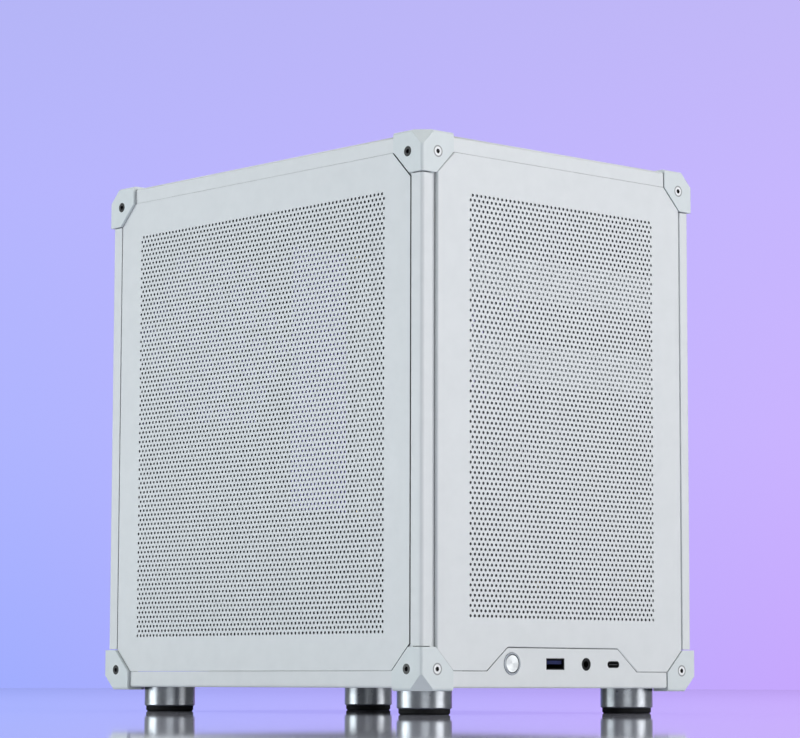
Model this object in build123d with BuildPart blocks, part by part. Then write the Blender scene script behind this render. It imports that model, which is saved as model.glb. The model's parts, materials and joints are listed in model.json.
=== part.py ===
"""Compact micro ATX computer case: capped corner frame with perforated pull-off panels.

Millimetres, +Z up. The origin is on the surface it stands on, under the middle of the case.
The front faces -Y and the motherboard tray is on the +X side. Depths into the case are
measured from the outer faces of the corner caps.
"""

import os
from math import sqrt

from build123d import *

os.makedirs("parts", exist_ok=True)

# Overall size, across the corner caps
case_w = 202.0
case_d = 265.0
body_h = 284.5
foot_drop = 12.0

# Corner caps
cap_size = 22.0
cap_short = 10.0
cap_wall = 3.0
cap_facet = 9.0
cap_core = 7.5
cap_round = 1.6
cap_screw_inset = 11.0

# Sheet and gaps
seam = 0.5
sheet = 1.0
frame_sheet = 1.2
skin_depth = 1.5
side_face_depth = 1.7
front_face_depth = 0.6
seat_gap = 0.3

# Corner posts
post_side_w = 8.1
post_front_w = 6.9
post_flange_end = 18.0
post_round = 2.0

# Perforated fields: the plain margins round them, and their holes
front_margin_side = 23.0
front_margin_low = 28.0
front_margin_top = 19.9
side_margin_end = 18.5
side_margin_low = 18.9
side_margin_top = 18.6
top_margin_side = 33.5
top_margin_end = 30.5
open_share = 0.227
cells_front = 5
cells_side = 8
cells_top = 5

# Front socket strip
port_z = 26.0
port_hood_top = 34.0
port_hood_half = 40.5
port_hood_foot = 55.0
button_x = -37.4
usb_a_x = -6.0
jack_x = 16.9
usb_c_x = 37.4
button_d = 9.3
button_bore = 9.8
button_ring_d = 11.6
button_travel = 0.8
usb_a_w = 13.2
usb_a_h = 5.8
usb_c_w = 8.9
usb_c_h = 3.4
jack_d = 6.6
port_gap = 0.1
hood_gap = 0.6
socket_recess = 0.2
shell_t = 0.4
tongue_set_back = 1.0
tongue_w = 11.2
tongue_h = 1.9
tongue_rise = 0.9
usb_a_l = 14.0
usb_c_l = 8.5
usb_c_tongue_w = 6.6
usb_c_tongue_h = 0.7
jack_body_w = 9.0
jack_body_h = 6.6
jack_body_l = 11.0
jack_bore = 3.6
jack_bore_l = 12.0
button_lip = 0.3
button_t = 2.0
button_edge = 0.3
stem_d = 4.4
stem_l = 7.7
housing_l = 7.7
housing_bore_l = 4.3
housing_flange_d = 14.0
housing_flange_t = 1.5
notch_depth = 11.0
plunger_d = 3.0
plunger_l = 0.9
switch_w = 6.0
switch_l = 5.0

# Feet
foot_inset = 26.5
foot_d = 28.3
pad_d = 26.4
pad_h = 3.0
foot_screw_d = 4.0
foot_head_d = 8.0
foot_head_h = 2.0
foot_socket_af = 3.0
foot_bevel = 0.6
pad_set = 2.0
pad_bevel = 0.8

# Motherboard side
standoff_h = 6.35
standoff_af = 5.0
standoff_bore = 2.5
board_drop = 15.5
board_edge_to_hole = 6.35
rear_edge_to_hole = 10.16
hole_rows = (0.0, 157.48, 203.2)
middle_column = 154.94
front_column = 227.33
front_column_room = 8.0
board_rear_gap = 1.5
tray_flange = 12.0

# Rear panel
io_w = 44.45
io_h = 158.75
io_below_board_top = 3.2
io_board_offset = 2.15
slot_pitch = 20.32
slots_wanted = 4
slot_window_w = 13.0
first_slot_drop = 175.0
cover_w = 18.4
cover_sheet = 0.9
cover_tab = 11.0
fan_pitches = (71.5, 82.5, 105.0)
fan_room_margin = 5.0
fan_hole_d = 4.4
fan_drop = 80.5
vent_margin = 6.0
vent_web = 3.5
inlet_side_depth = 43.0
inlet_below_board_top = 147.0
inlet_w = 27.5
inlet_h = 20.0
inlet_flange_w = 48.0
inlet_flange_h = 23.0
inlet_screw_pitch = 40.0
inlet_flange_t = 1.6
inlet_round = 3.0
inlet_depth = 22.0
inlet_mouth_w = 24.0
inlet_mouth_h = 16.0
inlet_mouth_cut = 4.0
inlet_mouth_depth = 14.0
inlet_pin_x = 7.0
inlet_pin_w = 2.0
inlet_pin_h = 4.0
inlet_pin_rise = 4.0
inlet_pin_l = 11.0
slot_board_gap = 1.45
slot_window_l = 108.0
cover_overhang = 2.9
cover_taper = 4.0
ledge_margin = 4.0
vent_rings = 3

# Power supply rails and bracket
rail_h = 21.0
rail_t = 1.6
rail_end_inset = 9.0
rail_drops = (115.3, 71.0)
rail_slot_l = 40.0
rail_slot_w = 4.4
rail_slot_inset = 51.0
supply_w = 86.0
supply_l = 150.0
supply_side_depth = 62.5
supply_hole_inset = 6.0
supply_hole_side_step = 64.0
supply_hole_end_step = 114.0
supply_hole_d = 3.8
bracket_frame_w = 12.0
bracket_margin = 2.0
bracket_bar_w = 14.0
bracket_screw_x = 14.0
rail_round = 2.0

# Motherboard tray openings
cpu_from_board_rear = 86.0
cpu_below_board_top = 59.0
cpu_w = 120.0
cpu_h = 84.0
cpu_round = 6.0
cable_pitch = 70.0
cable_z = 30.0
cable_w = 36.0
cable_h = 14.0
cable_round = 4.0
stud_thread_d = 3.0
rear_flange_rise = 28.0
rear_flange_w = 10.2

# Drive bracket
drive_side_depth = 11.0
drive_half = 50.0
drive_h = 38.3
drive_foot = 20.0
drive_lip = 12.0
drive_hole_pitch = 76.6
drive_hole_rise = 14.0

# Pan and frame ring
lug_near = 4.5
lug_far = 34.0
lug_rise = 1.5
core_gap = 0.3
pan_slot_l = 70.0
pan_slot_w = 4.0
pan_slot_pitch = 14.0
pan_slot_count = 6
ring_border = 26.5
ring_round = 6.0
cross_bar_w = 16.0
sheet_round = 1.2
hem_round = 0.8

# Socket board
board_left = -48.0
board_right = 50.0
board_front_depth = 4.0
board_back_depth = 26.5
socket_board_t = 1.6
boss_d = 6.0
boss_places = ((-42.0, 22.5), (8.5, 10.5), (44.0, 22.5))

# Screws
cap_screw_d = 2.9
cap_screw_head = 5.4
cap_screw_l = 6.5
small_screw_d = 2.9
small_head_d = 5.4
small_head_h = 1.6
small_screw_l = 5.0
tip_bevel = 0.3
socket_af = 2.3
socket_depth = 1.2
screw_play = 0.15

# Pull-off studs and their clips
stud_d = 3.6
stud_l = 6.0
stud_low_rise = 50.0
stud_high_drop = 44.5
top_clip_inset = 12.5
top_clip_end_depth = 52.5
clip_d = 5.6
clip_rim_d = 7.6
clip_rim_t = 1.0
clip_l = 5.5

# Worked out from the sizes above
half_w = case_w / 2
half_d = case_d / 2
z_low = foot_drop
z_high = foot_drop + body_h
z_mid = (z_low + z_high) / 2
panel_inset = cap_short + seam
panel_h = body_h - 2 * panel_inset
panel_w_front = case_w - 2 * panel_inset
panel_w_side = case_d - 2 * panel_inset
field_w_front = panel_w_front - 2 * front_margin_side
field_h_front = panel_h - front_margin_low - front_margin_top
field_z_front = z_mid + (front_margin_low - front_margin_top) / 2
field_w_side = panel_w_side - 2 * side_margin_end
field_h_side = panel_h - side_margin_low - side_margin_top
field_z_side = z_mid + (side_margin_low - side_margin_top) / 2
field_w_top = case_w - 2 * top_margin_side
field_d_top = case_d - 2 * top_margin_end
corner_cut = cap_size + cap_short + seam * sqrt(2) - 2 * panel_inset
cap_reach = cap_size + seam
side_x = half_w - side_face_depth
front_y = -(half_d - front_face_depth)
rear_y = half_d - side_face_depth
pan_z = z_low + skin_depth
pan_top = pan_z + frame_sheet
strip_top = z_low + cap_short
cover_z = z_high - skin_depth
rim_low = z_high - cap_short
flange_out = cap_wall
flange_in = cap_wall + frame_sheet
ring_top = z_high - cap_wall
ring_low = ring_top - frame_sheet
cover_under = cover_z - frame_sheet
notch_short = cap_size + cap_short + seam * sqrt(2) - cap_reach
core_clear = cap_core + core_gap
lug_top = pan_top + lug_rise
board_rise = port_z - usb_a_h / 2
board_low = board_rise - socket_board_t
front_wall_in = front_y + frame_sheet
clip_inset = (post_flange_end + skin_depth + post_side_w) / 2
clip_x = half_w - clip_inset
clip_y = half_d - clip_inset
stud_levels = (z_low + stud_low_rise, z_high - stud_high_drop)
rear_panel_in = half_d - cap_wall
rear_panel_out = rear_panel_in + frame_sheet
tray_x = half_w - post_flange_end
tray_face = tray_x - frame_sheet
board_top = z_high - board_drop
board_x = tray_face - standoff_h
hem_depth = flange_out - seat_gap - front_face_depth
io_x = board_x + io_board_offset - io_w / 2
io_z = board_top - io_below_board_top - io_h / 2
fan_left = post_flange_end - half_w
fan_room = io_x - io_w / 2 - fan_left
fan_pitch = max(pitch for pitch in fan_pitches if pitch + 2 * fan_room_margin < fan_room)
fan_x = fan_left + fan_room / 2
fan_z = z_high - fan_drop
vent_cell = (fan_pitch - vent_margin) / (2 * vent_rings)
vent_hole = vent_cell - vent_web
inlet_x = inlet_side_depth - half_w
inlet_z = board_top - inlet_below_board_top
slot_right = board_x - slot_board_gap
slot_x = slot_right - slot_window_l / 2
slot_top = board_top - first_slot_drop
slot_room = slot_top - cover_w / 2 - seat_gap - pan_top
slot_count = min(slots_wanted, 1 + int(slot_room / slot_pitch))
slot_levels = [slot_top - i * slot_pitch for i in range(slot_count)]
cover_left = slot_right - slot_window_l - cover_overhang
cover_l = slot_right + (cover_w - slot_window_w) / 2 - cover_left
drive_x = drive_side_depth - half_w
rail_half = half_w - rail_end_inset
rail_slot_x = half_w - rail_slot_inset
rail_z = [z_high - drop for drop in rail_drops]
rail_back = flange_in + rail_t
tray_front = -half_d + rail_back
tray_rear = half_d - flange_in
board_rear = rear_panel_in - board_rear_gap
first_column_y = board_rear - rear_edge_to_hole
last_column = min(front_column, first_column_y - tray_front - front_column_room)
standoff_spots = [
    (first_column_y - column, board_top - board_edge_to_hole - row)
    for row in hole_rows
    for column in (0, middle_column, last_column)
]
cpu_y = board_rear - cpu_from_board_rear
cpu_z = board_top - cpu_below_board_top
cable_spots = (-cable_pitch, 0, cable_pitch)
boss_spots = [(x, depth - half_d) for x, depth in boss_places]
supply_x = supply_side_depth - half_w
bracket_screw_spots = [(-rail_slot_x + dx * bracket_screw_x, z) for dx in (-1, 1) for z in rail_z]
supply_z = sum(rail_z) / 2
supply_end = supply_l / 2 - supply_hole_inset
supply_side = supply_w / 2 - supply_hole_inset
supply_holes = (
    (supply_side, -supply_end),
    (supply_side, supply_end),
    (supply_side - supply_hole_side_step, supply_end),
    (-supply_side, supply_end - supply_hole_end_step),
)
sides = (("left", -1), ("right", 1))
ends = (("front", -1), ("rear", 1))
levels = (("bottom", -1), ("top", 1))
corners = ((-1, -1), (-1, 1), (1, -1), (1, 1))
foot_spots = [(dx * (half_w - foot_inset), dy * (half_d - foot_inset)) for dx, dy in corners]
top_clip_spots = [
    (dx * (half_w - top_clip_inset), dy * (half_d - top_clip_end_depth)) for dx, dy in corners
]
low_corner = (Align.MIN, Align.MIN, Align.MIN)
on_floor = (Align.CENTER, Align.CENTER, Align.MIN)
under_roof = (Align.CENTER, Align.CENTER, Align.MAX)

# Spots of the fan vent: hexagons in rings about the fan's axis
vent_spots = []
for row in range(-vent_rings, vent_rings + 1):
    count = 2 * vent_rings + 1 - abs(row)
    for place in range(count):
        x = fan_x + (place - (count - 1) / 2) * vent_cell
        vent_spots.append((x, fan_z + row * vent_cell * sqrt(3) / 2))


def save(builder, name):
    """Label the finished piece and write its file."""
    builder.part.label = name
    export_step(builder.part, f"parts/{name}.step")


def corner_spot(dx, dy, u, v):
    """Point of the plan at depths u and v behind the two faces of one upright edge."""
    return (dx * (half_w - u), dy * (half_d - v))


def cap_plan(dx, dy, mode):
    """Room kept for one corner cap, drawn in the plan in work."""
    outline = (
        (0, 0),
        (cap_reach, 0),
        (cap_reach, notch_short),
        (notch_short, cap_reach),
        (0, cap_reach),
    )
    Polygon(*[corner_spot(dx, dy, u, v) for u, v in outline], align=None, mode=mode)


def body_plan():
    """Plan of the pan and of the cover: the body with its four cap notches."""
    with Locations((0, (front_y + rear_y) / 2)):
        Rectangle(2 * side_x, rear_y - front_y)
    for dx, dy in corners:
        cap_plan(dx, dy, Mode.SUBTRACT)


def staggered_hexagons(width, height, cells, mode):
    """Staggered rows of hexagonal holes over a field of the sketch in work."""
    pitch = width / cells
    row_pitch = pitch * sqrt(3) / 2
    rows = int(height / row_pitch)
    spots = []
    for row in range(rows):
        count = cells - row % 2
        for place in range(count):
            x = (place - (count - 1) / 2) * pitch
            spots.append((x, (row - (rows - 1) / 2) * row_pitch))
    with Locations(*spots):
        RegularPolygon(
            pitch * sqrt(open_share) / 2,
            6,
            major_radius=False,
            rotation=30,
            mode=mode,
        )


def side_plane(dx, depth, y, z):
    """Plane facing out of the left or right side at a depth behind the cap faces."""
    return Plane(origin=(dx * (half_w - depth), y, z), x_dir=(0, dx, 0), z_dir=(dx, 0, 0))


def end_plane(dy, depth, x, z):
    """Plane facing out of the front or rear at a depth behind the cap faces."""
    return Plane(origin=(x, dy * (half_d - depth), z), x_dir=(-dy, 0, 0), z_dir=(0, dy, 0))


def across(y):
    """Upright plane across the case, drawn in X and Z and facing the front."""
    return Plane.XZ.offset(-y)


# Corner caps: one is built, the other seven are its mirror images
with BuildPart() as cap:
    with Locations((-half_w, -half_d, z_low)):
        Box(cap_size, cap_size, cap_size, align=low_corner)
    fillet(cap.edges().sort_by_distance((-half_w, -half_d, z_low))[:3], cap_round)
    with Locations((-half_w + cap_wall, -half_d + cap_wall, z_low + cap_wall)):
        Box(cap_size, cap_size, cap_size, align=low_corner, mode=Mode.SUBTRACT)
        Box(cap_core - cap_wall, cap_core - cap_wall, cap_core - cap_wall, align=low_corner)
    for face_plane in (
        Plane(origin=(-half_w, -half_d, z_low), x_dir=(1, 0, 0), z_dir=(0, 0, 1)),
        Plane(origin=(-half_w, -half_d, z_low), x_dir=(0, 1, 0), z_dir=(1, 0, 0)),
        Plane(origin=(-half_w, -half_d, z_low), x_dir=(0, 0, 1), z_dir=(0, 1, 0)),
    ):
        with BuildSketch(face_plane):
            Polygon((cap_size, cap_short), (cap_size, cap_size), (cap_short, cap_size), align=None)
        extrude(amount=cap_size, mode=Mode.SUBTRACT)
    split(
        bisect_by=Plane(origin=(-half_w + cap_facet, -half_d, z_low), z_dir=(1, 1, 1)),
        keep=Keep.TOP,
    )
    with Locations(
        side_plane(-1, 0, -half_d + cap_screw_inset, z_low + cap_screw_inset),
        end_plane(-1, 0, -half_w + cap_screw_inset, z_low + cap_screw_inset),
    ):
        CounterSinkHole(
            cap_screw_d / 2 + screw_play,
            cap_screw_head / 2,
            depth=cap_wall,
            counter_sink_angle=90,
        )

for level, dz in levels:
    for end, dy in ends:
        for side, dx in sides:
            image = cap.part
            if dx > 0:
                image = mirror(image, about=Plane.YZ)
            if dy > 0:
                image = mirror(image, about=Plane.XZ)
            if dz > 0:
                image = mirror(image, about=Plane.XY.offset(z_mid))
            with BuildPart() as corner_cap:
                add(image)
            save(corner_cap, f"cap_{level}_{end}_{side}")

# Countersunk cap screw with its head flush at the origin, and its two sets
with BuildPart() as cap_screw:
    with BuildSketch(Plane.XZ):
        Polygon(
            (0, 0),
            (cap_screw_head / 2, 0),
            (cap_screw_d / 2, -(cap_screw_head - cap_screw_d) / 2),
            (cap_screw_d / 2, -cap_screw_l),
            (0, -cap_screw_l),
            align=None,
        )
    revolve(axis=Axis.Z)
    with BuildSketch(Plane.XY):
        RegularPolygon(socket_af / 2, 6, major_radius=False)
    extrude(amount=-socket_depth, mode=Mode.SUBTRACT)

screw_levels = (z_low + cap_screw_inset, z_high - cap_screw_inset)
with BuildPart() as cap_screws_side:
    with Locations(
        *[
            side_plane(dx, 0, dy * (half_d - cap_screw_inset), z)
            for dx, dy in corners
            for z in screw_levels
        ]
    ):
        add(cap_screw.part)
save(cap_screws_side, "cap_screws_side")

with BuildPart() as cap_screws_end:
    with Locations(
        *[
            end_plane(dy, 0, dx * (half_w - cap_screw_inset), z)
            for dx, dy in corners
            for z in screw_levels
        ]
    ):
        add(cap_screw.part)
save(cap_screws_end, "cap_screws_end")

# Corner posts: a folded angle with a lower flange on each side for the panels
side_edge = skin_depth + post_side_w
front_edge = skin_depth + post_front_w
with BuildPart() as post_blank:
    with BuildSketch(Plane.XY.offset(z_low + cap_reach)):
        Polygon(
            *[
                corner_spot(-1, -1, u, v)
                for u, v in (
                    (flange_out, post_flange_end),
                    (flange_out, side_edge),
                    (skin_depth, side_edge),
                    (skin_depth, skin_depth),
                    (front_edge, skin_depth),
                    (front_edge, flange_out),
                    (post_flange_end, flange_out),
                    (post_flange_end, flange_in),
                    (front_edge - frame_sheet, flange_in),
                    (front_edge - frame_sheet, skin_depth + frame_sheet),
                    (skin_depth + frame_sheet, skin_depth + frame_sheet),
                    (skin_depth + frame_sheet, side_edge - frame_sheet),
                    (flange_in, side_edge - frame_sheet),
                    (flange_in, post_flange_end),
                )
            ],
            align=None,
        )
    extrude(amount=body_h - 2 * cap_reach)
    upright_edges = post_blank.edges().filter_by(Axis.Z)
    fillet(upright_edges.sort_by_distance((-half_w, -half_d, z_mid))[0], post_round)
    with BuildSketch(Plane.XY.offset(z_low + cap_wall)):
        for tongue in (
            (flange_out, side_edge - frame_sheet, flange_in, post_flange_end),
            (front_edge, flange_out, post_flange_end, flange_in),
        ):
            near = corner_spot(-1, -1, tongue[0], tongue[1])
            far = corner_spot(-1, -1, tongue[2], tongue[3])
            with Locations(near):
                Rectangle(far[0] - near[0], far[1] - near[1], align=(Align.MIN, Align.MIN))
    extrude(amount=body_h - 2 * cap_wall)
    with Locations(
        *[side_plane(-1, 0, -half_d + cap_screw_inset, z) for z in screw_levels],
        *[end_plane(-1, 0, -half_w + cap_screw_inset, z) for z in screw_levels],
    ):
        Hole(cap_screw_d / 2 + screw_play, depth=cap_size)

for end, dy in ends:
    for side, dx in sides:
        image = post_blank.part
        if dx > 0:
            image = mirror(image, about=Plane.YZ)
        if dy > 0:
            image = mirror(image, about=Plane.XZ)
        clip_planes = [side_plane(dx, flange_in, dy * clip_y, z) for z in stud_levels]
        if dy < 0:
            clip_planes += [end_plane(dy, flange_in, dx * clip_x, z) for z in stud_levels]
        with BuildPart() as post:
            add(image)
            with Locations(*clip_planes):
                Box(clip_d, clip_d, 2 * clip_l, mode=Mode.SUBTRACT)
        save(post, f"post_{end}_{side}")

# Bottom pan with its strips, the raised socket strip in front and lugs on the caps
with BuildPart() as bottom_pan:
    with BuildSketch(Plane.XY.offset(pan_z)):
        body_plan()
    extrude(amount=strip_top - pan_z)
    under = bottom_pan.faces().sort_by(Axis.Z)[0]
    fillet(under.edges().filter_by(lambda edge: edge.length > case_w / 2), sheet_round)
    with Locations((0, (front_y + rear_y) / 2, pan_top)):
        Box(
            2 * (side_x - frame_sheet),
            rear_y - front_y - 2 * frame_sheet,
            body_h,
            align=on_floor,
            mode=Mode.SUBTRACT,
        )
    with BuildSketch(across(front_y)):
        Polygon(
            (-port_hood_foot, pan_top),
            (-port_hood_foot, strip_top),
            (-port_hood_half, port_hood_top),
            (port_hood_half, port_hood_top),
            (port_hood_foot, strip_top),
            (port_hood_foot, pan_top),
            align=None,
        )
    extrude(amount=-frame_sheet)
    with BuildSketch(across(front_y)):
        with Locations((button_x, port_z)):
            Circle(button_ring_d / 2 + port_gap)
        with Locations((usb_a_x, port_z)):
            Rectangle(usb_a_w + 2 * port_gap, usb_a_h + 2 * port_gap)
        with Locations((jack_x, port_z)):
            Circle(jack_d / 2 + port_gap)
        with Locations((usb_c_x, port_z)):
            SlotOverall(usb_c_w + 2 * port_gap, usb_c_h + 2 * port_gap)
    extrude(amount=-frame_sheet, mode=Mode.SUBTRACT)
    with BuildSketch(Plane.XY.offset(pan_top)):
        for dx, dy in corners:
            with Locations(corner_spot(dx, dy, (lug_near + lug_far) / 2, (lug_near + lug_far) / 2)):
                Rectangle(lug_far - lug_near, lug_far - lug_near)
            with Locations(corner_spot(dx, dy, 0, 0)):
                Rectangle(2 * core_clear, 2 * core_clear, mode=Mode.SUBTRACT)
    extrude(amount=lug_top - pan_top)
    with BuildSketch(Plane.XY.offset(pan_top)):
        for dx, dy in corners:
            cap_plan(dx, dy, Mode.ADD)
    extrude(amount=z_low + cap_wall - pan_top, mode=Mode.SUBTRACT)
    with BuildSketch(Plane.XY.offset(pan_top)):
        with Locations(*boss_spots):
            Circle(boss_d / 2)
    extrude(amount=board_low - pan_top)
    with Locations(*[(x, y, board_low) for x, y in boss_spots]):
        Hole(small_screw_d / 2 + screw_play, depth=board_low - pan_top)
    with Locations(*[(x, y, lug_top) for x, y in foot_spots]):
        Hole(foot_screw_d / 2 + screw_play, depth=foot_drop)
    with BuildSketch(Plane.XY.offset(pan_z)):
        with GridLocations(0, pan_slot_pitch, 1, pan_slot_count):
            SlotOverall(pan_slot_l, pan_slot_w)
    extrude(amount=frame_sheet, mode=Mode.SUBTRACT)
save(bottom_pan, "bottom_pan")

# Frame ring that joins the posts under the cover
with BuildPart() as top_frame:
    with BuildSketch(Plane.XY.offset(ring_low)):
        Rectangle(2 * (half_w - lug_near), 2 * (half_d - lug_near))
        for dx, dy in corners:
            with Locations(corner_spot(dx, dy, 0, 0)):
                Rectangle(2 * core_clear, 2 * core_clear, mode=Mode.SUBTRACT)
        RectangleRounded(
            2 * (half_w - ring_border),
            2 * (half_d - ring_border),
            ring_round,
            mode=Mode.SUBTRACT,
        )
        Rectangle(2 * (half_w - ring_border), cross_bar_w)
        with Locations(*top_clip_spots):
            Rectangle(clip_d, clip_d, mode=Mode.SUBTRACT)
    extrude(amount=frame_sheet)
save(top_frame, "top_frame")

# Top cover with its skirts and perforated field
with BuildPart() as top_cover:
    with BuildSketch(Plane.XY.offset(rim_low)):
        body_plan()
    extrude(amount=cover_z - rim_low)
    upper = top_cover.faces().sort_by(Axis.Z)[-1]
    fillet(upper.edges().filter_by(lambda edge: edge.length > case_w / 2), sheet_round)
    with Locations((0, (front_y + rear_y) / 2, cover_under)):
        Box(
            2 * (side_x - frame_sheet),
            rear_y - front_y - 2 * frame_sheet,
            body_h,
            align=under_roof,
            mode=Mode.SUBTRACT,
        )
    with BuildSketch(Plane.XY.offset(cover_under)):
        staggered_hexagons(field_w_top, field_d_top, cells_top, Mode.ADD)
    extrude(amount=frame_sheet, mode=Mode.SUBTRACT)
save(top_cover, "top_cover")

# Pull-off side panels
for side, dx in sides:
    with BuildPart() as side_panel:
        with BuildSketch(Plane.YZ.offset(dx * side_x)) as side_face:
            with Locations((0, z_mid)):
                Rectangle(panel_w_side, panel_h)
            chamfer(side_face.vertices(), corner_cut)
            with Locations((0, field_z_side)):
                staggered_hexagons(field_w_side, field_h_side, cells_side, Mode.SUBTRACT)
        extrude(amount=-dx * sheet)
    save(side_panel, f"{side}_panel")

# Pull-off front panel: a shallow tray whose hem follows its whole outline
with BuildPart() as front_panel:
    with BuildSketch(across(front_y)) as front_face:
        with Locations((0, z_mid)):
            Rectangle(panel_w_front, panel_h)
        chamfer(front_face.vertices(), corner_cut)
        Polygon(
            (-port_hood_foot - hood_gap, z_low),
            (-port_hood_foot - hood_gap, strip_top),
            (-port_hood_half - hood_gap / 2, port_hood_top + hood_gap),
            (port_hood_half + hood_gap / 2, port_hood_top + hood_gap),
            (port_hood_foot + hood_gap, strip_top),
            (port_hood_foot + hood_gap, z_low),
            align=None,
            mode=Mode.SUBTRACT,
        )
    extrude(amount=-hem_depth)
    fillet(front_panel.faces().sort_by(Axis.Y)[0].edges(), hem_round)
    with BuildSketch(across(front_y + sheet)):
        add(front_face.sketch_local)
        offset(amount=-sheet, kind=Kind.INTERSECTION, mode=Mode.REPLACE)
    extrude(amount=-hem_depth, mode=Mode.SUBTRACT)
    with BuildSketch(across(front_y)):
        with Locations((0, field_z_front)):
            staggered_hexagons(field_w_front, field_h_front, cells_front, Mode.ADD)
    extrude(amount=-sheet, mode=Mode.SUBTRACT)
save(front_panel, "front_panel")

# Rear panel with its windows, vent and screw holes
with BuildPart() as rear_panel:
    with BuildSketch(across(rear_panel_out)) as rear_face:
        with Locations((0, z_mid)):
            Rectangle(panel_w_front, panel_h)
        chamfer(rear_face.vertices(), corner_cut)
        with Locations((io_x, io_z)):
            Rectangle(io_w, io_h, mode=Mode.SUBTRACT)
        with Locations(*[(slot_x, z) for z in slot_levels]):
            Rectangle(slot_window_l, slot_window_w, mode=Mode.SUBTRACT)
        with Locations(*vent_spots):
            RegularPolygon(vent_hole / 2, 6, major_radius=False, rotation=30, mode=Mode.SUBTRACT)
        with Locations((fan_x, fan_z)):
            with GridLocations(fan_pitch, fan_pitch, 2, 2):
                Circle(fan_hole_d / 2, mode=Mode.SUBTRACT)
        with Locations((inlet_x, inlet_z)):
            Rectangle(inlet_w, inlet_h, mode=Mode.SUBTRACT)
            with GridLocations(inlet_screw_pitch, 0, 2, 1):
                Circle(small_screw_d / 2 + screw_play, mode=Mode.SUBTRACT)
    extrude(amount=frame_sheet)
save(rear_panel, "rear_panel")

# Motherboard tray, folded at the front behind the rails and at the rear on the posts
with BuildPart() as tray:
    with BuildSketch(Plane.YZ.offset(tray_x)):
        with Locations(((tray_front + tray_rear) / 2, (pan_top + ring_low) / 2)):
            Rectangle(tray_rear - tray_front, ring_low - pan_top)
        for dy in (-1, 1):
            with Locations((dy * half_d, pan_top)):
                Rectangle(2 * (lug_far + seat_gap), 2 * lug_rise, mode=Mode.SUBTRACT)
        with Locations((cpu_y, cpu_z)):
            RectangleRounded(cpu_w, cpu_h, cpu_round, mode=Mode.SUBTRACT)
        with Locations(*[(y, cable_z) for y in cable_spots]):
            RectangleRounded(cable_w, cable_h, cable_round, mode=Mode.SUBTRACT)
        with Locations(*standoff_spots):
            Circle(stud_thread_d / 2 + screw_play, mode=Mode.SUBTRACT)
    extrude(amount=-frame_sheet)
    with BuildSketch(across(tray_front)):
        with Locations((tray_face, lug_top)):
            Rectangle(tray_flange, ring_low - lug_top, align=(Align.MAX, Align.MIN))
    extrude(amount=-frame_sheet)
    with BuildSketch(across(tray_rear)):
        with Locations((tray_face, z_low + rear_flange_rise)):
            Rectangle(
                rear_flange_w,
                body_h - 2 * rear_flange_rise,
                align=(Align.MIN, Align.MIN),
            )
    extrude(amount=frame_sheet)
save(tray, "motherboard_tray")

# Standoffs for the board: hexagonal, threaded, with a stub through the tray
with BuildPart() as standoff:
    with BuildSketch(Plane.XY):
        RegularPolygon(standoff_af / 2, 6, major_radius=False)
    extrude(amount=standoff_h)
    with Locations((0, 0, standoff_h)):
        Hole(standoff_bore / 2, depth=standoff_h - frame_sheet)
    with BuildSketch(Plane.XY):
        Circle(stud_thread_d / 2)
    extrude(amount=-frame_sheet - screw_play)

with BuildPart() as standoffs:
    with Locations(*[side_plane(-1, half_w + tray_face, y, z) for y, z in standoff_spots]):
        add(standoff.part)
save(standoffs, "standoffs")

# Slotted rails across the front posts
for name, z in (("rail_lower", rail_z[0]), ("rail_upper", rail_z[1])):
    with BuildPart() as rail:
        with BuildSketch(across(-half_d + flange_in)):
            with Locations((0, z)):
                RectangleRounded(2 * rail_half, rail_h, rail_round)
            with Locations((-rail_slot_x, z), (rail_slot_x, z)):
                SlotOverall(rail_slot_l, rail_slot_w, mode=Mode.SUBTRACT)
        extrude(amount=-rail_t)
    save(rail, name)

# Power supply bracket behind the rails
with BuildPart() as supply_bracket:
    with BuildSketch(across(-half_d + rail_back)):
        with Locations((supply_x, supply_z)):
            RectangleRounded(supply_w + bracket_margin, supply_l + bracket_margin, rail_round)
            Rectangle(
                supply_w - 2 * bracket_frame_w,
                supply_l - 2 * bracket_frame_w,
                mode=Mode.SUBTRACT,
            )
            with Locations(*supply_holes):
                Circle(supply_hole_d / 2, mode=Mode.SUBTRACT)
        with Locations(*[(supply_x, z) for z in rail_z]):
            Rectangle(supply_w, bracket_bar_w)
        with Locations(*bracket_screw_spots):
            Circle(small_screw_d / 2 + screw_play, mode=Mode.SUBTRACT)
    extrude(amount=-frame_sheet)
save(supply_bracket, "supply_bracket")

# Pan-head screw with its seat at the origin and its head above
with BuildPart() as small_screw:
    with BuildSketch(Plane.XY):
        Circle(small_head_d / 2)
    extrude(amount=small_head_h)
    with BuildSketch(Plane.XY):
        Circle(small_screw_d / 2)
    extrude(amount=-small_screw_l)
    with BuildSketch(Plane.XY.offset(small_head_h)):
        RegularPolygon(socket_af / 2, 6, major_radius=False)
    extrude(amount=-socket_depth, mode=Mode.SUBTRACT)

with BuildPart() as bracket_screws:
    with Locations(*[end_plane(-1, flange_in, x, z) for x, z in bracket_screw_spots]):
        add(small_screw.part)
save(bracket_screws, "bracket_screws")

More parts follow.
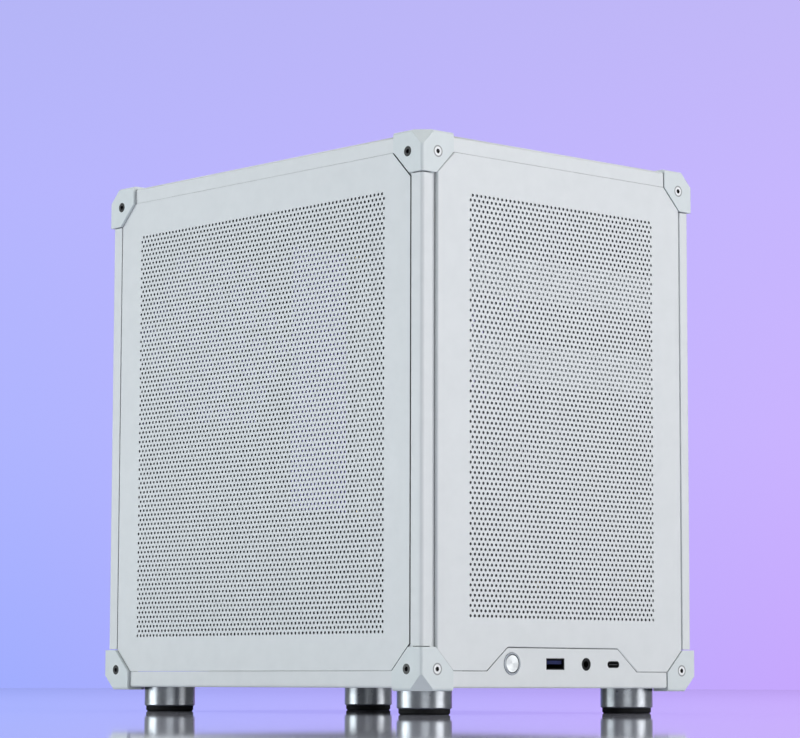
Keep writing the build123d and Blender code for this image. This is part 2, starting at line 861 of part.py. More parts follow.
# Drive bracket on the pan
with BuildPart() as drive_bracket:
    with BuildSketch(Plane.YZ.offset(drive_x)):
        with Locations((0, pan_top + drive_h / 2)):
            Rectangle(2 * drive_half, drive_h)
        with Locations((0, pan_top + drive_hole_rise)):
            with GridLocations(drive_hole_pitch, 0, 2, 1):
                Circle(supply_hole_d / 2, mode=Mode.SUBTRACT)
    extrude(amount=-frame_sheet)
    with BuildSketch(Plane.XY.offset(pan_top)):
        with Locations((drive_x, 0)):
            Rectangle(drive_foot, 2 * drive_half, align=(Align.MIN, Align.CENTER))
    extrude(amount=frame_sheet)
    with BuildSketch(Plane.XY.offset(pan_top + drive_h)):
        with Locations((drive_x, 0)):
            Rectangle(drive_lip, 2 * drive_half, align=(Align.MIN, Align.CENTER))
    extrude(amount=-frame_sheet)
save(drive_bracket, "drive_bracket")

# Blank slot covers, the ledge that takes their tabs and the screws
tab_y = rear_panel_in - cover_tab / 2
for number, z in enumerate(slot_levels, start=1):
    with BuildPart() as slot_cover:
        with BuildSketch(across(rear_panel_in)) as cover_face:
            with Locations((cover_left, z)):
                Rectangle(cover_l, cover_w, align=(Align.MIN, Align.CENTER))
            chamfer(cover_face.vertices().group_by(Axis.X)[-1], cover_taper)
        extrude(amount=cover_sheet)
        with BuildSketch(Plane.YZ.offset(cover_left)):
            with Locations((tab_y, z)):
                Rectangle(cover_tab, cover_w)
                Circle(small_screw_d / 2 + screw_play, mode=Mode.SUBTRACT)
        extrude(amount=cover_sheet)
    save(slot_cover, f"slot_cover_{number}")

ledge_z = (slot_levels[0] + slot_levels[-1]) / 2
ledge_h = (slot_count - 1) * slot_pitch + cover_w + ledge_margin
with BuildPart() as slot_rail:
    with BuildSketch(Plane.YZ.offset(cover_left)):
        with Locations((tab_y, ledge_z)):
            Rectangle(cover_tab, ledge_h)
        with Locations(*[(tab_y, z) for z in slot_levels]):
            Circle(small_screw_d / 2 + screw_play, mode=Mode.SUBTRACT)
    extrude(amount=-frame_sheet)
    with BuildSketch(across(rear_panel_in)):
        with Locations((cover_left, ledge_z)):
            Rectangle(cover_tab, ledge_h, align=(Align.MAX, Align.CENTER))
    extrude(amount=frame_sheet)
save(slot_rail, "slot_rail")

with BuildPart() as slot_screws:
    with Locations(
        *[side_plane(1, half_w - cover_left - cover_sheet, tab_y, z) for z in slot_levels]
    ):
        add(small_screw.part)
save(slot_screws, "slot_screws")

# Mains inlet
inlet_screw_planes = [
    end_plane(
        1,
        half_d - rear_panel_out - inlet_flange_t,
        inlet_x + dx * inlet_screw_pitch / 2,
        inlet_z,
    )
    for _, dx in sides
]
with BuildPart() as ac_inlet:
    with BuildSketch(across(rear_panel_out)):
        with Locations((inlet_x, inlet_z)):
            RectangleRounded(inlet_flange_w, inlet_flange_h, inlet_round)
    extrude(amount=-inlet_flange_t)
    with Locations(*inlet_screw_planes):
        CounterSinkHole(
            cap_screw_d / 2 + screw_play,
            cap_screw_head / 2,
            depth=inlet_flange_t,
            counter_sink_angle=90,
        )
    with BuildSketch(across(rear_panel_out)):
        with Locations((inlet_x, inlet_z)):
            Rectangle(inlet_w - 2 * port_gap, inlet_h - 2 * port_gap)
    extrude(amount=inlet_depth)
    with BuildSketch(across(rear_panel_out + inlet_flange_t)) as mouth:
        with Locations((inlet_x, inlet_z)):
            Rectangle(inlet_mouth_w, inlet_mouth_h)
        chamfer(mouth.vertices().group_by(Axis.Y)[-1], inlet_mouth_cut)
    extrude(amount=inlet_mouth_depth, mode=Mode.SUBTRACT)
save(ac_inlet, "ac_inlet")

with BuildPart() as inlet_pins:
    with BuildSketch(across(rear_panel_out + inlet_flange_t - inlet_mouth_depth)):
        with Locations((inlet_x - inlet_pin_x, inlet_z), (inlet_x + inlet_pin_x, inlet_z)):
            Rectangle(inlet_pin_w, inlet_pin_h)
        with Locations((inlet_x, inlet_z + inlet_pin_rise)):
            Rectangle(inlet_pin_w, inlet_pin_h)
    extrude(amount=-inlet_pin_l)
save(inlet_pins, "inlet_pins")

with BuildPart() as inlet_screws:
    with Locations(*inlet_screw_planes):
        add(cap_screw.part)
save(inlet_screws, "inlet_screws")

# Board for the front sockets, notched round the button housing
with BuildPart() as socket_board:
    with BuildSketch(Plane.XY.offset(board_low)):
        with Locations((board_left, -half_d + board_front_depth)):
            Rectangle(
                board_right - board_left,
                board_back_depth - board_front_depth,
                align=(Align.MIN, Align.MIN),
            )
        with Locations((button_x, -half_d)):
            Rectangle(button_ring_d + 2 * hood_gap, 2 * notch_depth, mode=Mode.SUBTRACT)
        with Locations(*boss_spots):
            Circle(small_screw_d / 2 + screw_play, mode=Mode.SUBTRACT)
    extrude(amount=socket_board_t)
save(socket_board, "socket_board")

with BuildPart() as board_screws:
    with Locations(*[(x, y, board_rise) for x, y in boss_spots]):
        add(small_screw.part)
save(board_screws, "board_screws")

socket_y = front_y + socket_recess
with BuildPart() as usb_a_shell:
    with BuildSketch(across(socket_y)):
        with Locations((usb_a_x, port_z)):
            Rectangle(usb_a_w, usb_a_h)
    extrude(amount=-usb_a_l)
    with BuildSketch(across(socket_y)):
        with Locations((usb_a_x, port_z)):
            Rectangle(usb_a_w - 2 * shell_t, usb_a_h - 2 * shell_t)
    extrude(amount=-usb_a_l + shell_t, mode=Mode.SUBTRACT)
save(usb_a_shell, "usb_a_shell")

with BuildPart() as usb_a_tongue:
    with BuildSketch(across(socket_y + tongue_set_back)):
        with Locations((usb_a_x, port_z + tongue_rise)):
            Rectangle(tongue_w, tongue_h)
    extrude(amount=-usb_a_l + shell_t + tongue_set_back)
save(usb_a_tongue, "usb_a_tongue")

with BuildPart() as audio_jack:
    with BuildSketch(across(socket_y)):
        with Locations((jack_x, port_z)):
            Circle(jack_d / 2)
    extrude(amount=socket_y + half_d - board_front_depth)
    with BuildSketch(across(-half_d + board_front_depth)):
        with Locations((jack_x, board_rise)):
            Rectangle(jack_body_w, jack_body_h, align=(Align.CENTER, Align.MIN))
    extrude(amount=-jack_body_l)
    with BuildSketch(across(socket_y)):
        with Locations((jack_x, port_z)):
            Circle(jack_bore / 2)
    extrude(amount=-jack_bore_l, mode=Mode.SUBTRACT)
save(audio_jack, "audio_jack")

with BuildPart() as usb_c_socket:
    with BuildSketch(across(socket_y)):
        with Locations((usb_c_x, port_z)):
            SlotOverall(usb_c_w, usb_c_h)
    extrude(amount=-usb_c_l)
    with BuildSketch(across(socket_y)):
        with Locations((usb_c_x, port_z)):
            SlotOverall(usb_c_w - 2 * shell_t, usb_c_h - 2 * shell_t)
            Rectangle(usb_c_tongue_w, usb_c_tongue_h, mode=Mode.SUBTRACT)
    extrude(amount=-usb_c_l + shell_t + tongue_set_back, mode=Mode.SUBTRACT)
    with BuildSketch(Plane.XY.offset(board_rise)):
        with Locations((usb_c_x, -half_d + board_front_depth)):
            Rectangle(
                usb_c_w - usb_c_h,
                socket_y + usb_c_l + half_d - board_front_depth,
                align=(Align.CENTER, Align.MIN),
            )
    extrude(amount=(usb_a_h - usb_c_h) / 2 + shell_t / 2)
save(usb_c_socket, "usb_c_socket")

# Power button, its housing and the switch behind it
housing_y = front_y - button_lip
with BuildPart() as button_housing:
    with BuildSketch(across(housing_y)):
        with Locations((button_x, port_z)):
            Circle(button_ring_d / 2)
    extrude(amount=-housing_l)
    with BuildSketch(across(front_wall_in)):
        with Locations((button_x, port_z)):
            Circle(housing_flange_d / 2)
    extrude(amount=-housing_flange_t)
    with BuildSketch(across(housing_y)):
        with Locations((button_x, port_z)):
            Circle(button_bore / 2)
    extrude(amount=-housing_bore_l, mode=Mode.SUBTRACT)
    with BuildSketch(across(housing_y)):
        with Locations((button_x, port_z)):
            Circle(stem_d / 2 + seat_gap)
    extrude(amount=-housing_l, mode=Mode.SUBTRACT)
save(button_housing, "button_housing")

with BuildPart() as power_button:
    with BuildSketch(across(housing_y)) as button_face:
        with Locations((button_x, port_z)):
            Circle(button_d / 2)
    extrude(amount=-button_t)
    chamfer(power_button.faces().sort_by(Axis.Y)[0].edges(), button_edge)
    with BuildSketch(across(housing_y + button_t)):
        with Locations((button_x, port_z)):
            Circle(stem_d / 2)
    extrude(amount=-stem_l)
save(power_button, "power_button")

plunger_y = housing_y + button_t + stem_l + button_travel + seat_gap
with BuildPart() as power_switch:
    with BuildSketch(across(plunger_y)):
        with Locations((button_x, port_z)):
            Circle(plunger_d / 2)
    extrude(amount=-plunger_l)
    with BuildSketch(across(plunger_y + plunger_l)):
        with Locations((button_x, board_rise)):
            Rectangle(switch_w, switch_w, align=(Align.CENTER, Align.MIN))
    extrude(amount=-switch_l)
save(power_switch, "power_switch")

# Feet: metal ring, rubber pad and the screw from inside the pan
with BuildPart() as foot_ring:
    with BuildSketch(Plane.XZ):
        Polygon(
            (foot_screw_d / 2 + screw_play, pad_h + pad_set),
            (pad_d / 2, pad_h + pad_set),
            (pad_d / 2, pad_h),
            (foot_d / 2 - foot_bevel, pad_h),
            (foot_d / 2, pad_h + foot_bevel),
            (foot_d / 2, pan_z),
            (foot_screw_d / 2 + screw_play, pan_z),
            align=None,
        )
    revolve(axis=Axis.Z)

with BuildPart() as foot_rings:
    with Locations(*[(x, y, 0) for x, y in foot_spots]):
        add(foot_ring.part)
save(foot_rings, "foot_rings")

with BuildPart() as foot_pads:
    with BuildSketch(Plane.XY):
        with Locations(*foot_spots):
            Circle(pad_d / 2)
    extrude(amount=pad_h + pad_set)
    chamfer(foot_pads.faces().group_by(Axis.Z)[0].edges(), pad_bevel)
save(foot_pads, "foot_pads")

with BuildPart() as foot_screws:
    with BuildSketch(Plane.XY.offset(lug_top)):
        with Locations(*foot_spots):
            Circle(foot_head_d / 2)
    extrude(amount=foot_head_h)
    with BuildSketch(Plane.XY.offset(pad_h + pad_set)):
        with Locations(*foot_spots):
            Circle(foot_screw_d / 2)
    extrude(amount=lug_top - pad_h - pad_set)
    with BuildSketch(Plane.XY.offset(lug_top + foot_head_h)):
        with Locations(*foot_spots):
            RegularPolygon(foot_socket_af / 2, 6, major_radius=False)
    extrude(amount=-socket_depth, mode=Mode.SUBTRACT)
save(foot_screws, "foot_screws")

# Pull-off studs on the removable panels and the bushes that hold them
with BuildPart() as stud:
    with BuildSketch(Plane.XZ):
        Polygon(
            (0, 0),
            (stud_d / 2, 0),
            (stud_d / 2, -stud_l + tip_bevel),
            (stud_d / 2 - tip_bevel, -stud_l),
            (0, -stud_l),
            align=None,
        )
    revolve(axis=Axis.Z)

with BuildPart() as clip:
    Box(clip_rim_d, clip_rim_d, clip_rim_t, align=under_roof)
    with Locations((0, 0, frame_sheet)):
        Box(clip_d, clip_d, clip_l, align=under_roof)
        Hole(stud_d / 2 + seat_gap)

for side, dx in sides:
    with BuildPart() as panel_studs:
        with Locations(
            *[
                side_plane(dx, side_face_depth + sheet, dy * clip_y, z)
                for _, dy in ends
                for z in stud_levels
            ]
        ):
            add(stud.part)
    save(panel_studs, f"{side}_panel_studs")
    with BuildPart() as panel_clips:
        with Locations(
            *[side_plane(dx, flange_in, dy * clip_y, z) for _, dy in ends for z in stud_levels]
        ):
            add(clip.part)
    save(panel_clips, f"{side}_clips")

with BuildPart() as front_panel_studs:
    with Locations(
        *[
            end_plane(-1, front_face_depth + sheet, dx * clip_x, z)
            for _, dx in sides
            for z in stud_levels
        ]
    ):
        add(stud.part)
save(front_panel_studs, "front_panel_studs")

with BuildPart() as front_clips:
    with Locations(
        *[end_plane(-1, flange_in, dx * clip_x, z) for _, dx in sides for z in stud_levels]
    ):
        add(clip.part)
save(front_clips, "front_clips")

with BuildPart() as top_cover_studs:
    with Locations(*[(x, y, cover_under) for x, y in top_clip_spots]):
        add(stud.part)
save(top_cover_studs, "top_cover_studs")

with BuildPart() as top_clips:
    with Locations(*[(x, y, ring_low) for x, y in top_clip_spots]):
        add(clip.part)
save(top_clips, "top_clips")
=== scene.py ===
"""Looks of the compact micro ATX case: fine perforated panels, finishes, light and camera."""

import json
from itertools import product
from math import cos, pi, radians, sin, sqrt

import bmesh
import bpy
from mathutils import Matrix, Vector
from mathutils.geometry import tessellate_polygon


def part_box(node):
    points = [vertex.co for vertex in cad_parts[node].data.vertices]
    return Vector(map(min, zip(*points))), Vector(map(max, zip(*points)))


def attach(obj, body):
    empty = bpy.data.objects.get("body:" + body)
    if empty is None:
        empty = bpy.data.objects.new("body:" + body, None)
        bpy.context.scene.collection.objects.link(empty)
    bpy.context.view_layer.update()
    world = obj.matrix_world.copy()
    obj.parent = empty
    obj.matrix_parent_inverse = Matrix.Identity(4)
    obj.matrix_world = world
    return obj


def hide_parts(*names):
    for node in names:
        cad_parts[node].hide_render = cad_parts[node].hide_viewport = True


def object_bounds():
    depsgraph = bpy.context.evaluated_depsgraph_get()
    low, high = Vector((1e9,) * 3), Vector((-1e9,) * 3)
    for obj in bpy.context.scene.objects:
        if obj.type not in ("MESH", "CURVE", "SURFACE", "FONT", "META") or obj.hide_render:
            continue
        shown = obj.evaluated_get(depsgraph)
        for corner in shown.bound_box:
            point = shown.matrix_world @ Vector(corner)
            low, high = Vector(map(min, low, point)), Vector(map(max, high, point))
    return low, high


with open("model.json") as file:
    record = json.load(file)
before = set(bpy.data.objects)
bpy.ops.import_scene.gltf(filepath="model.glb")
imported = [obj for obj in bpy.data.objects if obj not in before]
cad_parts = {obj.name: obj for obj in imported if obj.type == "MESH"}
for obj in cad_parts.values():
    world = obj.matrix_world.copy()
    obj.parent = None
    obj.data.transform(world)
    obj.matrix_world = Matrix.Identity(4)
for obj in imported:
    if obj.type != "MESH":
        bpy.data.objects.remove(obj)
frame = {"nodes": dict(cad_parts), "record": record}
cad_low, cad_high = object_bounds()

# Sizes in metres, as on the object
mm = 0.001
front_pitch = 3.0 * mm
side_pitch = 2.98 * mm
hole_reach = 0.86 * mm
sheet = 1.0 * mm
cover_sheet = 1.2 * mm
corner_cut = 11.707 * mm
edge_break = 0.15 * mm
hem_round = 0.8 * mm
hem_depth = 2.1 * mm
cover_round = 1.2 * mm
cap_reach = 22.5 * mm
notch_short = 10.207 * mm
hood_half = 40.8 * mm
hood_foot = 55.6 * mm
hood_top = 34.6 * mm
arc_steps = 4

# Depth under the face at which the painted shade of a hole begins
hole_wall = 0.08 * mm

# Fields of fine holes: holes in a long row, rows, and the field's centre
front_holes, front_rows = 46, 84
front_field = Vector((0.9, 157.8)) * mm
side_holes, side_rows = 70, 88
side_field = Vector((1.2, 154.1)) * mm
top_holes, top_rows = 46, 79

# How far the fine panels close the gaps at their faint seams, or open the wide ones
seam_closed = -0.34 * mm
seam_shut = -0.46 * mm
cap_seam_closed = -0.40 * mm
side_gap_opened = 0.25 * mm
side_diagonal_opened = 1.25 * mm
front_gap_opened = 0.9 * mm

# Roundness of the front panel's edges, from the lower left one on, as shares of the hem's round
front_rounds = (0.5, 0.2, 1.0, 1.0, 0.5, 0.4, 1.0, 0.4, 0.15, 1.0, 1.0, 0.9)


# Fine perforated sheets

def inset(outline, amounts):
    """The outline moved inwards, each edge by its own amount."""
    moved = []
    for i, point in enumerate(outline):
        before = (point - outline[i - 1]).normalized()
        after = (outline[(i + 1) % len(outline)] - point).normalized()
        normal_a = Vector((-before.y, before.x))
        normal_b = Vector((-after.y, after.x))
        reach_a = point.dot(normal_a) + amounts[i - 1]
        reach_b = point.dot(normal_b) + amounts[i]
        det = normal_a.x * normal_b.y - normal_a.y * normal_b.x
        moved.append(
            Vector(
                (
                    (reach_a * normal_b.y - reach_b * normal_a.y) / det,
                    (normal_a.x * reach_b - normal_b.x * reach_a) / det,
                )
            )
        )
    return moved


def hole_spots(long_row, rows, centre, pitch):
    """Centres of the holes, row by row from below; every other row has one hole less."""
    lattice = []
    for row in range(rows):
        count = long_row - row % 2
        v = centre.y + (row - (rows - 1) / 2) * pitch * sqrt(3) / 2
        lattice.append(
            [Vector((centre.x + (i - (count - 1) / 2) * pitch, v)) for i in range(count)]
        )
    return lattice


def field_faces(lattice):
    """Sheet between the holes: corner numbers of its quads and triangles, and of the holes."""
    first = {}
    for row, spots in enumerate(lattice):
        for place in range(len(spots)):
            first[row, place] = 6 * len(first)
    sheet_faces = []
    for (row, place), at in first.items():
        right = first.get((row, place + 1))
        upper_right = first.get((row + 1, place + row % 2))
        upper_left = first.get((row + 1, place + row % 2 - 1))
        if right is not None:
            sheet_faces.append((at + 5, right + 3, right + 2, at))
        if upper_right is not None:
            sheet_faces.append((at, upper_right + 4, upper_right + 3, at + 1))
        if upper_left is not None:
            sheet_faces.append((at + 1, upper_left + 5, upper_left + 4, at + 2))
        if right is not None and upper_right is not None:
            sheet_faces.append((at, right + 2, upper_right + 4))
        if upper_left is not None and upper_right is not None:
            sheet_faces.append((at + 1, upper_right + 3, upper_left + 5))
    holes = [tuple(at + k for k in range(6)) for at in first.values()]
    return sheet_faces, holes


def rim_of(faces):
    """The one loop of corners that runs round a patch of faces."""
    sides = set()
    for face in faces:
        for i, corner in enumerate(face):
            sides.add((corner, face[(i + 1) % len(face)]))
    after = {a: b for a, b in sides if (b, a) not in sides}
    start = min(after)
    loop = [start]
    while after[loop[-1]] != start:
        loop.append(after[loop[-1]])
    return loop


def perforated(name, outline, edge_stations, lattice, thickness, place):
    """A sheet with fine holes. Each station is a depth with the inset of every edge there."""
    holes_flat = []
    for spots in lattice:
        for spot in spots:
            for k in range(6):
                angle = pi / 6 + k * pi / 3
                holes_flat.append(spot + hole_reach * Vector((cos(angle), sin(angle))))
    inner = len(holes_flat)
    count = len(outline)
    sheet_faces, holes = field_faces(lattice)
    rim = rim_of(sheet_faces + holes)
    loops = [inset(outline, amounts) for _, amounts in edge_stations]
    flat_rim = [holes_flat[corner] for corner in rim]
    border = []
    numbers = list(range(inner, inner + count)) + rim
    outer_3d = [point.to_3d() for point in loops[0]]
    rim_3d = [point.to_3d() for point in flat_rim]
    for triangle in tessellate_polygon([outer_3d, rim_3d]):
        border.append(tuple(numbers[k] for k in triangle))
    verts = [place(p, 0.0) for p in holes_flat]
    verts += [place(p, 0.0) for p in loops[0]]
    back = len(verts)
    verts += [place(p, thickness) for p in holes_flat]
    verts += [place(p, thickness) for p in loops[-1]]
    faces = sheet_faces + border
    faces += [tuple(back + corner for corner in reversed(face)) for face in sheet_faces + border]
    for hole in holes:
        for k in range(6):
            a, b = hole[k], hole[(k + 1) % 6]
            faces.append((a, b, back + b, back + a))
    ring = list(range(inner, inner + count))
    flat_faces = len(faces)
    for (depth, _), loop in zip(edge_stations[1:-1], loops[1:-1]):
        fresh = list(range(len(verts), len(verts) + count))
        verts += [place(p, depth) for p in loop]
        faces += bridge(ring, fresh)
        ring = fresh
    faces += bridge(ring, list(range(back + inner, back + inner + count)))
    piece = mesh_piece(name, verts, faces)
    for polygon in piece.data.polygons[flat_faces:]:
        polygon.use_smooth = True
    return piece


def bridge(ring, fresh):
    """Quads between two loops of the same length."""
    count = len(ring)
    return [
        (ring[i], ring[(i + 1) % count], fresh[(i + 1) % count], fresh[i]) for i in range(count)
    ]


def mesh_piece(name, verts, faces):
    """A mesh object with its faces turned outwards."""
    data = bpy.data.meshes.new(name)
    data.from_pydata(verts, [], faces)
    shape = bmesh.new()
    shape.from_mesh(data)
    bmesh.ops.recalc_face_normals(shape, faces=shape.faces)
    shape.to_mesh(data)
    shape.free()
    piece = bpy.data.objects.new(name, data)
    bpy.context.scene.collection.objects.link(piece)
    return piece


def rounding(radius):
    """Depth and inset along a quarter round from the face to the edge."""
    turns = [pi / 2 * i / arc_steps for i in range(arc_steps + 1)]
    return [(radius * (1 - cos(turn)), radius * (1 - sin(turn))) for turn in turns]


def even_stations(stations, count):
    """Stations with the same inset on every edge."""
    return [(depth, [amount] * count) for depth, amount in stations]


def side_panel(side, sign):
    """Fine side panel in place of the coarse CAD one."""
    low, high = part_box(f"{side}_panel")
    face_x = low.x if sign < 0 else high.x
    cut = corner_cut
    outline = [
        Vector(point)
        for point in (
            (low.y + cut, low.z),
            (high.y - cut, low.z),
            (high.y, low.z + cut),
            (high.y, high.z - cut),
            (high.y - cut, high.z),
            (low.y + cut, high.z),
            (low.y, high.z - cut),
            (low.y, low.z + cut),
        )
    ]
    far = [cap_seam_closed, cap_seam_closed, cap_seam_closed]
    near = [side_diagonal_opened, side_gap_opened, side_diagonal_opened]
    shifts = [seam_closed] + far + [seam_shut] + near
    stations = [(0.0, edge_break), (edge_break, 0.0), (sheet, 0.0)]
    lattice = hole_spots(side_holes, side_rows, side_field, side_pitch)
    return perforated(
        f"{side}_panel_fine",
        inset(outline, shifts),
        even_stations(stations, len(outline)),
        lattice,
        sheet,
        lambda p, depth: (face_x - sign * depth, p.x, p.y),
    )


def front_panel():
    """Fine front panel with its hem and the notch over the sockets."""
    low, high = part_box("front_panel")
    cut = corner_cut
    outline = [
        Vector(point)
        for point in (
            (low.x + cut, low.z),
            (-hood_foot, low.z),
            (-hood_half, hood_top),
            (hood_half, hood_top),
            (hood_foot, low.z),
            (high.x - cut, low.z),
            (high.x, low.z + cut),
            (high.x, high.z - cut),
            (high.x - cut, high.z),
            (low.x + cut, high.z),
            (low.x, high.z - cut),
            (low.x, low.z + cut),
        )
    ]
    bottom = [seam_closed] * 5
    right_side = [cap_seam_closed, seam_closed, seam_closed]
    left_side = [0.0, front_gap_opened, seam_closed]
    shifts = bottom + right_side + [seam_shut] + left_side
    stations = [
        (depth, [amount * share for share in front_rounds]) for depth, amount in rounding(hem_round)
    ]
    stations += even_stations([(hem_depth, 0.0), (hem_depth, sheet), (sheet, sheet)], len(outline))
    lattice = hole_spots(front_holes, front_rows, front_field, front_pitch)
    return perforated(
        "front_panel_fine",
        inset(outline, shifts),
        stations,
        lattice,
        sheet,
        lambda p, depth: (p.x, low.y + depth, p.y),
    )


def top_cover():
    """Fine top cover: the perforated roof and a skirt along each of its four long edges."""
    low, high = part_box("top_cover")
    reach_x = cad_high.x - cap_reach
    reach_y = cad_high.y - cap_reach
    short_x = cad_high.x - notch_short
    short_y = cad_high.y - notch_short
    outline = [
        Vector(point)
        for point in (
            (-reach_x, low.y),
            (reach_x, low.y),
            (reach_x, -short_y),
            (short_x, -reach_y),
            (high.x, -reach_y),
            (high.x, reach_y),
            (short_x, reach_y),
            (reach_x, short_y),
            (reach_x, high.y),
            (-reach_x, high.y),
            (-reach_x, short_y),
            (-short_x, reach_y),
            (low.x, reach_y),
            (low.x, -reach_y),
            (-short_x, -reach_y),
            (-reach_x, -short_y),
        )
    ]
    skirted = [i % 4 == 0 for i in range(len(outline))]
    stations = [
        (depth, [amount if long_edge else 0.0 for long_edge in skirted])
        for depth, amount in rounding(cover_round)
    ]
    stations.append((cover_sheet, [0.0] * len(outline)))
    lattice = hole_spots(top_holes, top_rows, Vector((0.0, (low.y + high.y) / 2)), front_pitch)
    roof = perforated(
        "top_cover_fine",
        outline,
        stations,
        lattice,
        cover_sheet,
        lambda p, depth: (p.x, p.y, high.z - depth),
    )
    under_roof = high.z - cover_sheet
    skirts = [
        bevelled_box("top_cover_skirt", (*box_low, low.z), (*box_high, under_roof))
        for box_low, box_high in (
            ((-reach_x, low.y), (reach_x, low.y + cover_sheet)),
            ((-reach_x, high.y - cover_sheet), (reach_x, high.y)),
            ((low.x, -reach_y), (low.x + cover_sheet, reach_y)),
            ((high.x - cover_sheet, -reach_y), (high.x, reach_y)),
        )
    ]
    return [roof] + skirts


def bevelled_box(name, low, high):
    """Box between two corners with its lower edges broken."""
    verts = list(product(*zip(low, high)))
    faces = [(0, 1, 3, 2), (4, 6, 7, 5), (0, 4, 5, 1), (2, 3, 7, 6), (0, 2, 6, 4), (1, 5, 7, 3)]
    piece = mesh_piece(name, verts, faces)
    shape = bmesh.new()
    shape.from_mesh(piece.data)
    low_edges = [e for e in shape.edges if all(abs(v.co.z - low[2]) < mm / 10 for v in e.verts)]
    bmesh.ops.bevel(shape, geom=low_edges, offset=edge_break, segments=2, affect="EDGES")
    shape.to_mesh(piece.data)
    shape.free()
    return piece


# Finishes

# Range that most noise values keep to, and how fine mottling and roughness are beside the grain
noise_middle = (0.3, 0.7)
mottle_share = 1 / 12
wander_share = 1 / 5

# Painted shade in narrow gaps and corners: from which openness to which, and how far
crevice_openness = (0.12, 0.62)
crevice_shade = 0.30
crevice_samples = 6

# Painted light: least brightness of hole walls with a white rail behind them, and the softness of
# its edge
painted_rail_light = 0.65
place_soft = 0.05


def new_material(name):
    """Empty node material with its shader and the object's own coordinates."""
    made = bpy.data.materials.new(name)
    made.use_nodes = True
    nodes = made.node_tree.nodes
    shader = nodes["Principled BSDF"]
    coords = nodes.new("ShaderNodeTexCoord")
    return made, shader, coords.outputs["Object"]


def add_node(made, kind, inputs=(), **settings):
    """One more node, with its settings, its socket values and its links."""
    node = made.node_tree.nodes.new(kind)
    for key, value in settings.items():
        setattr(node, key, value)
    for socket, value in inputs:
        if isinstance(value, bpy.types.NodeSocket):
            made.node_tree.links.new(value, node.inputs[socket])
        else:
            node.inputs[socket].default_value = value
    return node


def noise(made, coords, scale, detail=3.0, roughness=0.5):
    """Noise value over the object's own coordinates."""
    node = add_node(
        made,
        "ShaderNodeTexNoise",
        (("Vector", coords), ("Scale", scale), ("Detail", detail), ("Roughness", roughness)),
    )
    return node.outputs["Fac"]


def mapped(made, value, source, target, **settings):
    """The value moved from one range to another."""
    node = add_node(
        made,
        "ShaderNodeMapRange",
        (
            ("Value", value),
            ("From Min", source[0]),
            ("From Max", source[1]),
            ("To Min", target[0]),
            ("To Max", target[1]),
        ),
        **settings,
    )
    return node.outputs["Result"]


def math_of(made, operation, *values):
    """Result of a maths node on one or two values."""
    node = add_node(made, "ShaderNodeMath", enumerate(values), operation=operation)
    return node.outputs["Value"]


def vector_of(made, operation, *values):
    """Vector result of a maths node on one or two vectors."""
    node = add_node(made, "ShaderNodeVectorMath", enumerate(values), operation=operation)
    return node.outputs["Vector"]


def number_of(made, operation, *values):
    """Number result of a maths node on one or two vectors, such as a length."""
    node = add_node(made, "ShaderNodeVectorMath", enumerate(values), operation=operation)
    return node.outputs["Value"]


def tinted(made, value, dark, light):
    """Colour between two tones, steered by a noise value."""
    ramp = add_node(made, "ShaderNodeValToRGB", (("Fac", value),))
    for element, position, colour in zip(ramp.color_ramp.elements, noise_middle, (dark, light)):
        element.position = position
        element.color = (*colour, 1)
    return ramp.outputs["Color"]


def bumped(made, shader, height, strength, distance):
    """Bump from a height value."""
    node = add_node(
        made,
        "ShaderNodeBump",
        (("Height", height), ("Strength", strength), ("Distance", distance)),
    )
    made.node_tree.links.new(node.outputs["Normal"], shader.inputs["Normal"])


def shaded(made, colour, factor):
    """The colour times a factor."""
    node = add_node(
        made, "ShaderNodeVectorMath", (("Vector", colour), ("Scale", factor)), operation="SCALE"
    )
    return node.outputs["Vector"]


def painted_crevice_shade(made, reach):
    """Painted shade: a factor that falls in narrow gaps and corners."""
    near = add_node(
        made, "ShaderNodeAmbientOcclusion", (("Distance", reach),), samples=crevice_samples
    )
    return mapped(
        made,
        near.outputs["AO"],
        crevice_openness,
        (crevice_shade, 1.0),
        interpolation_type="SMOOTHSTEP",
    )


def within(made, coords, low, high, inside, soft):
    """Factor for points inside a box of the object's coordinates, rising to one at its sides."""
    centre = tuple((a + b) / 2 for a, b in zip(low, high))
    per_half = tuple(2 / (b - a) for a, b in zip(low, high))
    offset = vector_of(made, "SUBTRACT", coords, centre)
    reach = vector_of(made, "ABSOLUTE", vector_of(made, "MULTIPLY", offset, per_half))
    axes = add_node(made, "ShaderNodeSeparateXYZ", (("Vector", reach),)).outputs
    most = math_of(made, "MAXIMUM", axes["X"], axes["Y"])
    most = math_of(made, "MAXIMUM", most, axes["Z"])
    return mapped(made, most, (1.0 - soft, 1.0), (inside, 1.0))


def ringed(made, coords, spots, middle_z, radius, width, inside):
    """Painted shadow: a factor for a thin dark ring about screws that lie mirrored in x and z."""
    offset = vector_of(made, "SUBTRACT", coords, (0.0, 0.0, middle_z))
    away = vector_of(made, "SUBTRACT", vector_of(made, "ABSOLUTE", offset), spots)
    reach = number_of(made, "LENGTH", vector_of(made, "MULTIPLY", away, (1.0, 0.0, 1.0)))
    off = math_of(made, "ABSOLUTE", math_of(made, "SUBTRACT", reach, radius))
    return mapped(made, off, (width / 4, width / 2), (inside, 1.0))


def painted_light_raise(made, coords, factor, places, least):
    """Painted light: the factor, but never under the least one inside the boxes given."""
    for low, high in places:
        outside = within(made, coords, low, high, 0.0, place_soft)
        lit_up = mapped(made, outside, (0.0, 1.0), (least, 0.0))
        factor = math_of(made, "MAXIMUM", factor, lit_up)
    return factor


